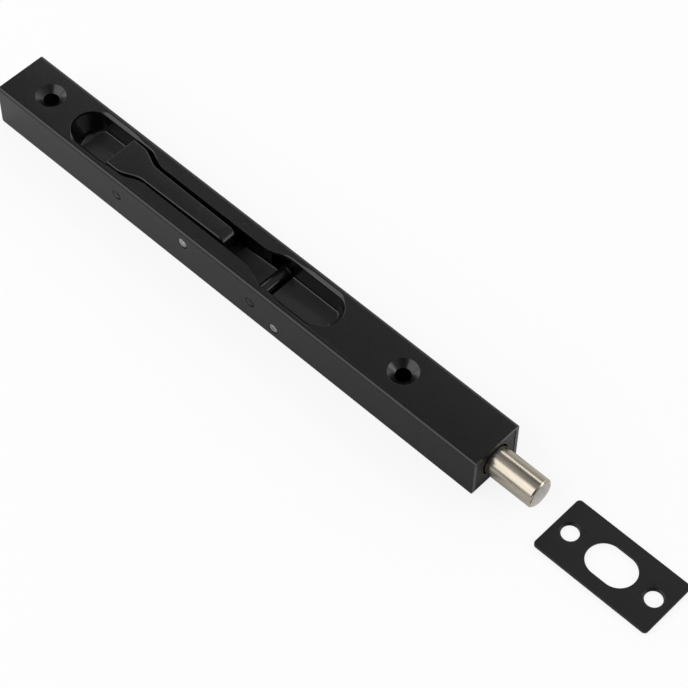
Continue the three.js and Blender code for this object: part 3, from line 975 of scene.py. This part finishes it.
def noise(nodes, links, scale, detail, stretch=(1, 1, 1)):
    """Noise in the object's own space, with its size per metre."""
    where = nodes.new("ShaderNodeTexCoord")
    mapping = nodes.new("ShaderNodeMapping")
    mapping.inputs["Scale"].default_value = stretch
    texture = nodes.new("ShaderNodeTexNoise")
    texture.inputs["Scale"].default_value = scale
    texture.inputs["Detail"].default_value = detail
    links.new(where.outputs["Object"], mapping.inputs["Vector"])
    links.new(mapping.outputs["Vector"], texture.inputs["Vector"])
    return texture.outputs["Fac"]


def ramp(nodes, links, source, low, high, from_low=NOISE_LOW, from_high=NOISE_HIGH):
    """Two colours blended by a value."""
    made = nodes.new("ShaderNodeValToRGB")
    made.color_ramp.elements[0].position = from_low
    made.color_ramp.elements[0].color = (*low, 1)
    made.color_ramp.elements[1].position = from_high
    made.color_ramp.elements[1].color = (*high, 1)
    links.new(source, made.inputs["Fac"])
    return made.outputs["Color"]


def spread(nodes, links, source, low, high):
    """Noise mapped to a range."""
    made = nodes.new("ShaderNodeMapRange")
    made.inputs["From Min"].default_value = NOISE_LOW
    made.inputs["From Max"].default_value = NOISE_HIGH
    made.inputs["To Min"].default_value = low
    made.inputs["To Max"].default_value = high
    links.new(source, made.inputs["Value"])
    return made.outputs["Result"]


def add_bump(nodes, links, shader, source, strength, distance):
    bump = nodes.new("ShaderNodeBump")
    bump.inputs["Strength"].default_value = strength
    bump.inputs["Distance"].default_value = distance * MM
    links.new(source, bump.inputs["Height"])
    links.new(bump.outputs["Normal"], shader.inputs["Normal"])


def blend(nodes, links, mask, low, high):
    """Two colours, or two values from sockets, blended by a mask."""
    made = nodes.new("ShaderNodeMix")
    made.data_type = "RGBA"
    links.new(mask, made.inputs[MIX_MASK])
    links.new(low, made.inputs[MIX_FIRST])
    links.new(high, made.inputs[MIX_SECOND])
    return made.outputs[MIX_RESULT]


def calculated(nodes, links, operation, first, second):
    """Two values joined by an operation; the second may be a plain number."""
    made = nodes.new("ShaderNodeMath")
    made.operation = operation
    links.new(first, made.inputs[0])
    if isinstance(second, float):
        made.inputs[1].default_value = second
    else:
        links.new(second, made.inputs[1])
    return made.outputs[0]


def band(nodes, links, axis, middle, half, soft):
    """One inside a band of the object's own space, nought outside; sizes in millimetres."""
    where = nodes.new("ShaderNodeTexCoord")
    split = nodes.new("ShaderNodeSeparateXYZ")
    links.new(where.outputs["Object"], split.inputs["Vector"])
    away = calculated(nodes, links, "SUBTRACT", split.outputs[axis], middle * MM)
    size = calculated(nodes, links, "ABSOLUTE", away, 0.0)
    inside = nodes.new("ShaderNodeMapRange")
    inside.inputs["From Min"].default_value = (half + soft) * MM
    inside.inputs["From Max"].default_value = half * MM
    links.new(size, inside.inputs["Value"])
    return inside.outputs["Result"]


def coat_material(name, low, high, rough, level):
    """Satin black powder coat: fine orange peel and a faint cloudy tone."""
    material, nodes, links, shader = new_material(name)
    cloud = noise(nodes, links, CLOUD_SCALE, CLOUD_DETAIL)
    links.new(ramp(nodes, links, cloud, low, high), shader.inputs["Base Color"])
    grain = noise(nodes, links, GRAIN_SCALE, GRAIN_DETAIL)
    links.new(spread(nodes, links, grain, *rough), shader.inputs["Roughness"])
    add_bump(nodes, links, shader, grain, COAT_BUMP, COAT_BUMP_HEIGHT)
    shader.inputs["Specular IOR Level"].default_value = level
    return material


def paint_light_on_pocket_floors(material):
    """Painted light: the floors of the finger pockets get a paler coat colour, standing in for light that
    the deep pockets shade off.
    """
    nodes, links = material.node_tree.nodes, material.node_tree.links
    shader = nodes["Principled BSDF"]
    plain = shader.inputs["Base Color"].links[0].from_socket
    cloud = noise(nodes, links, CLOUD_SCALE, CLOUD_DETAIL)
    pale = ramp(nodes, links, cloud, POCKET_LIT_LOW, POCKET_LIT_HIGH)
    mask = band(nodes, links, "Z", FACE - POCKET_DEPTH, POCKET_FILLET, POCKET_FILLET)
    across = band(nodes, links, "Y", 0, POCKET_HALF - POCKET_FILLET, POCKET_FILLET / 2)
    plain_end = POCKET_REACH - POCKET_END_DRAFT - POCKET_END_FILLET
    along = band(nodes, links, "X", PIVOT - MIDDLE, plain_end, POCKET_END_FILLET)
    for more in (across, along):
        mask = calculated(nodes, links, "MULTIPLY", mask, more)
    links.new(blend(nodes, links, mask, plain, pale), shader.inputs["Base Color"])


def paint_light_on_leaf(material):
    """Painted light: the leaf gets a paler colour than the eye behind it, standing in for light under the
    opening.
    """
    nodes, links = material.node_tree.nodes, material.node_tree.links
    shader = nodes["Principled BSDF"]
    plain = shader.inputs["Base Color"].links[0].from_socket
    cloud = noise(nodes, links, CLOUD_SCALE, CLOUD_DETAIL)
    pale = ramp(nodes, links, cloud, LEAF_LIT_LOW, LEAF_LIT_HIGH)
    half = (LEAF_LIT_UNTIL - LEAF_START) / 2
    leaf = band(nodes, links, "X", LEAF_START + half - MIDDLE, half, LEAF_EDGE)
    links.new(blend(nodes, links, leaf, plain, pale), shader.inputs["Base Color"])


def metal_material(name, low, high, rough, marked):
    """Bare or plated metal with fine working marks."""
    material, nodes, links, shader = new_material(name)
    scale, stretch, bump = marked
    marks = noise(nodes, links, scale, GRAIN_DETAIL, stretch)
    links.new(ramp(nodes, links, marks, low, high), shader.inputs["Base Color"])
    links.new(spread(nodes, links, marks, *rough), shader.inputs["Roughness"])
    shader.inputs["Metallic"].default_value = 1
    add_bump(nodes, links, shader, marks, bump, METAL_BUMP_HEIGHT)
    return material


def roughen_tip(material):
    """The cut end of the bolt is paler, rougher and speckled."""
    nodes, links = material.node_tree.nodes, material.node_tree.links
    shader = nodes["Principled BSDF"]
    cut = band(nodes, links, "X", BOLT_TIP - MIDDLE, TIP_DEPTH, TIP_DEPTH)
    speckle = noise(nodes, links, SPECKLE_SCALE, GRAIN_DETAIL)
    pale = ramp(nodes, links, speckle, TIP_LOW, TIP_HIGH)
    plain = shader.inputs["Base Color"].links[0].from_socket
    links.new(blend(nodes, links, cut, plain, pale), shader.inputs["Base Color"])
    even = shader.inputs["Roughness"].links[0].from_socket
    coarse = spread(nodes, links, speckle, *TIP_ROUGH)
    links.new(blend(nodes, links, cut, even, coarse), shader.inputs["Roughness"])


def make_materials():
    made = {
        "coat": coat_material("black_coat", COAT_LOW, COAT_HIGH, COAT_ROUGH, COAT_SHINE),
        "plate": coat_material("plate_coat", PLATE_LOW, PLATE_HIGH, PLATE_ROUGH, PLATE_SHINE),
        "spring": coat_material("spring_coat", COAT_LOW, COAT_HIGH, COAT_ROUGH, COAT_SHINE),
        "bar": coat_material("bar_coat", COAT_LOW, COAT_HIGH, PLATE_ROUGH, BAR_SHINE),
        "bolt": metal_material("bolt_plate", BOLT_LOW, BOLT_HIGH, BOLT_ROUGH, BOLT_MARKS),
        "bright": metal_material("bright_plate", PIN_LOW, PIN_HIGH, PIN_ROUGH, PIN_MARKS),
        "inner": metal_material("inner_plate", INNER_LOW, INNER_HIGH, CAST_ROUGH, INNER_MARKS),
        "cast": metal_material("cast_block", CAST_LOW, CAST_HIGH, CAST_ROUGH, CAST_MARKS),
    }
    paint_light_on_pocket_floors(made["coat"])
    paint_light_on_leaf(made["spring"])
    roughen_tip(made["bolt"])
    return made


def dress_cad(node, material):
    """Gives a carried-over CAD node its finish."""
    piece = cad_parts[node]
    piece.data.materials.clear()
    piece.data.materials.append(material)


# Studio

def shade_inside_channel(nodes, links):
    """Mask of the painted shade: one on the floor inside the channel, nought outside."""
    middle = HOUSING_LENGTH / 2
    along = band(nodes, links, "X", middle - MIDDLE, middle - FLOOR_SOFT, FLOOR_SOFT)
    across = band(nodes, links, "Y", 0, HALF - FLOOR_SOFT, FLOOR_SOFT)
    return calculated(nodes, links, "MULTIPLY", along, across)


def side_shade(nodes, links):
    """Shade of the floor beside the channel as its sides mirror it, deeper towards the bolt."""
    middle = HOUSING_LENGTH / 2
    rays = nodes.new("ShaderNodeLightPath").outputs
    shade = band(nodes, links, "X", HOUSING_LENGTH - MIDDLE, 0, SHADE_REACH)
    along = band(nodes, links, "X", middle - MIDDLE - SHADE_PAST, middle + SHADE_PAST, FLOOR_SOFT)
    across = band(nodes, links, "Y", 0, SHADE_HALF, SHADE_HALF)
    for part in (along, across, rays["Is Glossy Ray"], SIDE_SHADE):
        shade = calculated(nodes, links, "MULTIPLY", shade, part)
    return shade


def plain_share(nodes, links, inside):
    """How much of the floor is plain white: to the eye, less in mirrors, and none inside the channel."""
    rays = nodes.new("ShaderNodeLightPath").outputs
    mirrored = calculated(nodes, links, "MAXIMUM", rays["Is Glossy Ray"], rays["Is Transmission Ray"])
    mirrored = calculated(nodes, links, "MULTIPLY", mirrored, FLOOR_MIRRORED)
    seen = calculated(nodes, links, "MULTIPLY", rays["Is Camera Ray"], FLOOR_PLAIN)
    share = calculated(nodes, links, "MAXIMUM", seen, mirrored)
    hidden = calculated(nodes, links, "MULTIPLY", share, inside)
    return calculated(nodes, links, "SUBTRACT", share, hidden)


def floor_material():
    """White floor that keeps a faint shadow, with painted shade inside the channel and, in mirrors only,
    beside it.
    """
    material, nodes, links, shader = new_material("floor_white")
    inside = shade_inside_channel(nodes, links)
    inside = calculated(nodes, links, "MAXIMUM", inside, side_shade(nodes, links))
    # Painted shade: the floor's colour darkens inside the channel and, for mirrors, beside it
    tone = ramp(nodes, links, inside, FLOOR_WHITE, FLOOR_SHADE, 0, 1)
    links.new(tone, shader.inputs["Base Color"])
    shader.inputs["Roughness"].default_value = FLOOR_ROUGH
    shader.inputs["Specular IOR Level"].default_value = 0.0
    plain = nodes.new("ShaderNodeEmission")
    plain.inputs["Color"].default_value = WHITE
    plain.inputs["Strength"].default_value = 1.0
    both = nodes.new("ShaderNodeMixShader")
    links.new(plain_share(nodes, links, inside), both.inputs[0])
    links.new(shader.outputs["BSDF"], both.inputs[1])
    links.new(plain.outputs["Emission"], both.inputs[2])
    links.new(both.outputs["Shader"], nodes["Material Output"].inputs["Surface"])
    return material


def make_floor():
    mesh = bpy.data.meshes.new("floor")
    signs = ((-1, -1), (1, -1), (1, 1), (-1, 1))
    corners = [(FLOOR_REACH * x, FLOOR_REACH * y, -FLOOR_DROP) for x, y in signs]
    mesh.from_pydata(corners, [], [(0, 1, 2, 3)])
    mesh.materials.append(floor_material())
    floor = bpy.data.objects.new("floor", mesh)
    bpy.context.scene.collection.objects.link(floor)


def sky_patch(nodes, links, where, towards, inner, outer, strength, around):
    """Light of the sky with a soft round patch of its own strength."""
    near = nodes.new("ShaderNodeVectorMath")
    near.operation = "DOT_PRODUCT"
    near.inputs[1].default_value = Vector(towards).normalized()
    links.new(where.outputs["Generated"], near.inputs[0])
    light = nodes.new("ShaderNodeMapRange")
    light.inputs["From Min"].default_value = math.cos(math.radians(outer))
    light.inputs["From Max"].default_value = math.cos(math.radians(inner))
    light.inputs["To Min"].default_value = SKY
    light.inputs["To Max"].default_value = strength
    links.new(near.outputs["Value"], light.inputs["Value"])
    if around is not None:
        links.new(around, light.inputs["To Min"])
    return light.outputs["Result"]


def make_world():
    world = bpy.data.worlds.new("studio")
    bpy.context.scene.world = world
    world.use_nodes = True
    nodes, links = world.node_tree.nodes, world.node_tree.links
    background = nodes["Background"]
    background.inputs["Color"].default_value = WHITE
    where = nodes.new("ShaderNodeTexCoord")
    light = None
    for towards, inner, outer, strength in SKY_PATCHES:
        light = sky_patch(nodes, links, where, towards, inner, outer, strength, light)
    links.new(light, background.inputs["Strength"])


def softbox(name, place, size, brightness):
    """Rectangular soft lamp that faces the latch, long side along it."""
    data = bpy.data.lights.new(name, "AREA")
    data.shape = "RECTANGLE"
    data.size, data.size_y = size
    data.energy = brightness * math.pi * size[0] * size[1]
    lamp = bpy.data.objects.new(name, data)
    lamp.location = place
    ahead = -Vector(place).normalized()
    across = Vector((1, 0, 0))
    up = ahead.cross(across).normalized()
    side = up.cross(ahead).normalized()
    turn = Matrix((-side, up, -ahead)).transposed().to_4x4()
    lamp.matrix_world = Matrix.Translation(Vector(place)) @ turn
    lamp.visible_camera = False
    bpy.context.scene.collection.objects.link(lamp)


def make_lights():
    make_world()
    for lamp in LAMPS:
        softbox(*lamp)


def make_pieces(materials):
    coat = materials["coat"]
    make_housing(coat)
    make_lever(coat)
    make_bolt(materials["bolt"])
    make_strike(materials["plate"])
    make_guide(materials["cast"])
    make_spring(materials["spring"])
    bright = materials["bright"]
    make_pin("pivot_rivet", "pivot_pin", (PIVOT, PIVOT_HEIGHT), PIVOT_RADIUS, bright)
    make_pin("guide_rivet", "guide_pin", GUIDE_PIN, PIN_RADIUS, bright)
    make_pin("rest_rivet_left", "rest_pin_left", REST_LEFT, PIN_RADIUS, coat)
    make_pin("rest_rivet_right", "rest_pin_right", REST_RIGHT, PIN_RADIUS, coat)
    dress_cad("drive_bar", materials["bar"])
    for node in ("crank_pin", "pivot_spacer_near", "pivot_spacer_far"):
        dress_cad(node, materials["inner"])


make_camera()
bpy.context.scene.view_settings.view_transform = "Standard"
make_pieces(make_materials())
make_floor()
make_lights()
